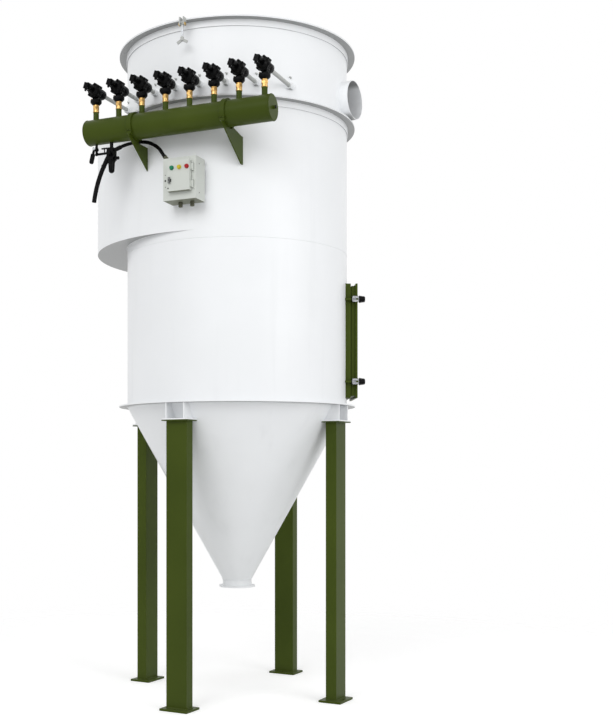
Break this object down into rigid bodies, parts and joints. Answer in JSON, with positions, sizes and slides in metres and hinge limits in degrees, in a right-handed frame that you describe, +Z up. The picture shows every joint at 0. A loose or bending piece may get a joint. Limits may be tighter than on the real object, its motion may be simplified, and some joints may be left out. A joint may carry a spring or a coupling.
{
  "type": "reverse jet dust filter",
  "caption": "Cylindrical reverse jet dust filter with scroll inlet, pulse valve row on an air header, control box, access door and conical hopper on tall legs.",
  "frame": {"origin": "on the floor, on the vessel's axis, in the middle of the anchor bolts", "axes": "+Z up along the vessel's axis, -Y towards the control box, +X towards the outlet spigot"},
  "size_m": [2.1131, 2.5092, 4.627],
  "materials": {
    "body_white": "satin white paint",
    "frame_green": "olive green paint",
    "box_grey": "light grey paint",
    "valve_black": "black",
    "brass": "plain brass",
    "steel": "zinc plated",
    "tube_grey": "galvanized pipe",
    "hose_black": "black rubber and ribbed conduit",
    "lens_green": "green lens",
    "lens_yellow": "yellow lens",
    "lens_red": "red lens"
  },
  "bodies": {
    "vessel": {"leg_front": "frame_green", "leg_right": "frame_green", "leg_back": "frame_green", "leg_left": "frame_green", "foot_plates": "frame_green", "leg_caps": "frame_green", "ring_lugs": "body_white", "bottom_ring": "body_white", "hopper_cone": "body_white", "discharge_collar": "body_white", "shell_lower_course": "body_white", "shell_upper_course": "body_white", "lower_flange": "body_white", "upper_flange": "body_white", "plenum_shell": "body_white", "top_flange": "body_white", "lid": "body_white", "lid_clamp": "steel", "lid_hinge": "body_white", "scroll_floor": "body_white", "scroll_wall": "body_white", "scroll_roof": "body_white", "scroll_end": "body_white", "inlet_spigot": "body_white", "outlet_spigot": "body_white", "header_tank": "frame_green", "header_caps": "frame_green", "header_stubs": "frame_green", "brass_unions": "brass", "inlet_nuts": "valve_black", "pulse_valves": "valve_black", "valve_covers": "valve_black", "solenoids": "valve_black", "blow_tubes": "tube_grey", "tube_bushes": "body_white", "header_brackets": "frame_green", "header_straps": "frame_green", "control_box": "box_grey", "box_rails": "body_white", "box_hinges": "steel", "cable_glands": "box_grey", "access_frame": "frame_green", "access_hinges": "frame_green", "drain_valve": "valve_black", "air_unit": "valve_black", "supply_hose": "hose_black", "box_conduit": "hose_black"},
    "box_door": {"box_door": "box_grey", "box_lock": "steel", "light_green": "lens_green", "light_yellow": "lens_yellow", "light_red": "lens_red"},
    "access_door": {"access_door": "frame_green", "door_clamps": "steel", "door_knobs": "valve_black"},
    "drain_lever": {"drain_lever": "valve_black"}
  },
  "joints": [
    {"name": "box_door_hinge", "type": "hinge", "parent": "vessel", "child": "box_door", "pos_m": [0.19905, -0.94424, 3.53685], "axis": [0, 0, 1], "range_deg": [0, 110]},
    {"name": "access_door_hinge", "type": "hinge", "parent": "vessel", "child": "access_door", "pos_m": [0.60767, 0.60949, 2.537], "axis": [0, 0, 1], "range_deg": [0, 120]},
    {"name": "drain_lever_turn", "type": "hinge", "parent": "vessel", "child": "drain_lever", "pos_m": [-0.52968, -1.02506, 3.7847], "axis": [-0.0872, 0.9962, 0], "range_deg": [0, 90]}
  ]
}
